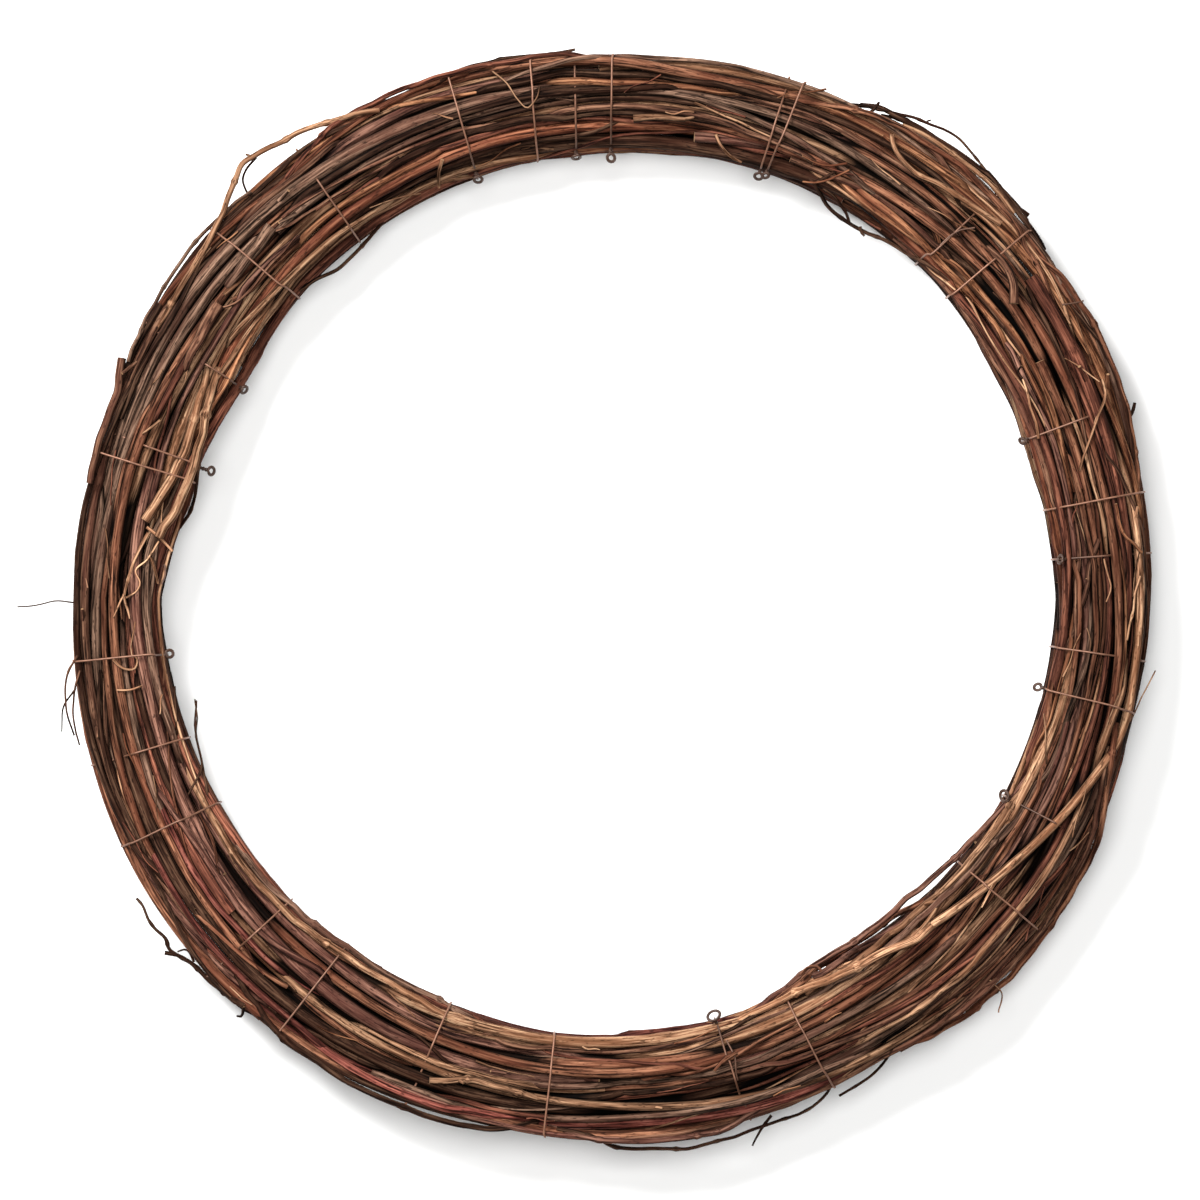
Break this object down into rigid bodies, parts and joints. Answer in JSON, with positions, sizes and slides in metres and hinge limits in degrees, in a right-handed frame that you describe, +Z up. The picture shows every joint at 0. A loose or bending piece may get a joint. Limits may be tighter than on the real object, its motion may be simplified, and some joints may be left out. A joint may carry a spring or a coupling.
{
  "type": "natural vine wreath",
  "caption": "Flat ring wreath of wound natural bark canes, bound round with thin brown wire ties, for a door or a table.",
  "frame": {"origin": "centre of the ring at the surface that it lies on", "axes": "+Z up out of the front face as the wreath lies on its back, +Y towards the top of the pictured ring, +X to its right"},
  "size_m": [0.4531, 0.4585, 0.0428],
  "materials": {
    "olive_grey_bark": "matt, dry bark",
    "grey_brown_bark": "matt, dry bark",
    "brown_bark": "matt, dry bark",
    "light_brown_bark": "matt, dry bark",
    "red_orange_bark": "matt, dry bark",
    "orange_brown_bark": "matt, dry bark",
    "red_bark": "matt, dry bark",
    "red_brown_bark": "matt, dry bark",
    "violet_brown_bark": "matt, dry bark",
    "tan_bark": "matt, dry bark",
    "dark_bark": "matt, dry bark",
    "tie_wire": "thin brown coated wire, satin"
  },
  "bodies": {
    "root": {"front_cane_01": "olive_grey_bark", "front_cane_02": "red_orange_bark", "front_cane_03": "tan_bark", "front_cane_04": "brown_bark", "front_cane_05": "violet_brown_bark", "front_cane_06": "red_bark", "front_cane_07": "red_bark", "front_cane_08": "light_brown_bark", "front_cane_09": "violet_brown_bark", "front_cane_10": "light_brown_bark", "front_cane_11": "red_brown_bark", "front_cane_12": "orange_brown_bark", "front_cane_13": "orange_brown_bark", "front_cane_14": "dark_bark", "front_cane_15": "light_brown_bark", "front_cane_16": "olive_grey_bark", "front_cane_17": "brown_bark", "front_cane_18": "tan_bark", "front_cane_19": "grey_brown_bark", "front_cane_20": "red_brown_bark", "back_cane_01": "grey_brown_bark", "back_cane_02": "brown_bark", "back_cane_03": "olive_grey_bark", "back_cane_04": "dark_bark", "back_cane_05": "violet_brown_bark", "back_cane_06": "brown_bark", "back_cane_07": "grey_brown_bark", "back_cane_08": "red_brown_bark", "back_cane_09": "brown_bark", "back_cane_10": "violet_brown_bark", "back_cane_11": "olive_grey_bark", "back_cane_12": "light_brown_bark", "back_cane_13": "brown_bark", "back_cane_14": "grey_brown_bark", "stray_cane_01": "dark_bark", "stray_cane_02": "grey_brown_bark", "wire_tie_01": "tie_wire", "wire_tie_02": "tie_wire", "wire_tie_03": "tie_wire", "wire_tie_04": "tie_wire", "wire_tie_05": "tie_wire", "wire_tie_06": "tie_wire", "wire_tie_07": "tie_wire", "wire_tie_08": "tie_wire", "wire_tie_09": "tie_wire", "wire_tie_10": "tie_wire", "wire_tie_11": "tie_wire", "wire_tie_12": "tie_wire", "wire_tie_13": "tie_wire", "wire_tie_14": "tie_wire", "wire_tie_15": "tie_wire", "wire_tie_16": "tie_wire", "wire_tie_17": "tie_wire", "wire_tie_18": "tie_wire", "wire_tie_19": "tie_wire", "wire_tie_20": "tie_wire", "wire_tie_21": "tie_wire", "wire_tie_22": "tie_wire", "wire_tie_23": "tie_wire", "wire_tie_24": "tie_wire"}
  },
  "joints": []
}
